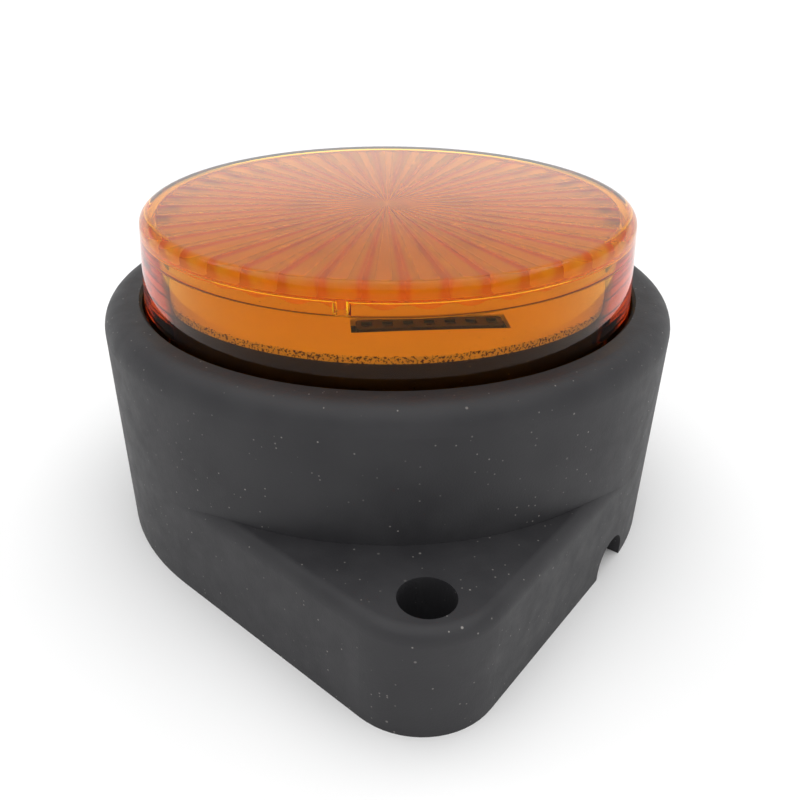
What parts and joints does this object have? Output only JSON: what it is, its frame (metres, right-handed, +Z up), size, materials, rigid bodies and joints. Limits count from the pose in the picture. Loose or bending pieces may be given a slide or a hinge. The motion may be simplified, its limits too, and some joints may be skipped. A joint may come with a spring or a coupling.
{
  "type": "barrier warning lamp",
  "caption": "Low round amber warning lamp for a traffic barrier arm, with a twist-off fluted lens, a black housing with two bolt ears and a closed back.",
  "frame": {"origin": "centre of the round body, in the plane of the bottom edge that rests on the barrier", "axes": "+Z up through the lens, Y along the line of the two bolt ears, the cable notch beside the -Y ear on the +X side"},
  "size_m": [0.0816, 0.1118, 0.0453],
  "materials": {
    "housing_black": "fine matte grain, moulded black",
    "lens_amber": "clear amber, glossy",
    "seal_rubber": "soft matte",
    "reflector_white": "smooth satin white",
    "board_green": "solder mask",
    "led_body": "satin cream",
    "led_dome": "clear silicone over amber die",
    "screw_steel": "zinc plated",
    "chip_black": "moulded epoxy with tinned leads",
    "resistor_black": "glazed chip with tinned ends",
    "ceramic_tan": "fired ceramic with tinned ends",
    "can_aluminium": "bright drawn can",
    "ferrite_grey": "fired ferrite",
    "fuse_ceramic": "white ceramic with tinned ends",
    "spacer_nylon": "natural nylon",
    "terminal_green": "moulded",
    "clamp_brass": "plain",
    "plate_black": "fine matte grain",
    "membrane_white": "porous film"
  },
  "bodies": {
    "lamp_base": {"housing": "housing_black", "lens_gasket": "seal_rubber", "reflector": "reflector_white", "led_board": "board_green", "driver_board": "board_green", "board_spacers": "spacer_nylon", "spacer_screws": "screw_steel", "header_body": "chip_black", "header_socket": "chip_black", "header_pins": "clamp_brass", "led_packages": "led_body", "led_domes": "led_dome", "board_screws": "screw_steel", "driver_chip": "chip_black", "switching_transistor": "chip_black", "current_resistors": "resistor_black", "ceramic_capacitors": "ceramic_tan", "electrolytic_capacitor": "can_aluminium", "power_inductor": "ferrite_grey", "protection_diodes": "chip_black", "fuse": "fuse_ceramic", "terminal_block": "terminal_green", "terminal_clamps": "clamp_brass", "terminal_screws": "screw_steel", "threaded_inserts": "clamp_brass", "back_gasket": "seal_rubber", "back_plate": "plate_black", "back_plate_screws": "screw_steel", "cable_grommet": "seal_rubber", "vent_plug": "plate_black", "vent_membrane": "membrane_white"},
    "lens_cap": {"lens": "lens_amber"}
  },
  "joints": [
    {"name": "lens_turn", "type": "hinge", "parent": "lamp_base", "child": "lens_cap", "pos_m": [0, 0, 0.0241], "axis": [0, 0, 1], "range_deg": [0, 20]}
  ]
}
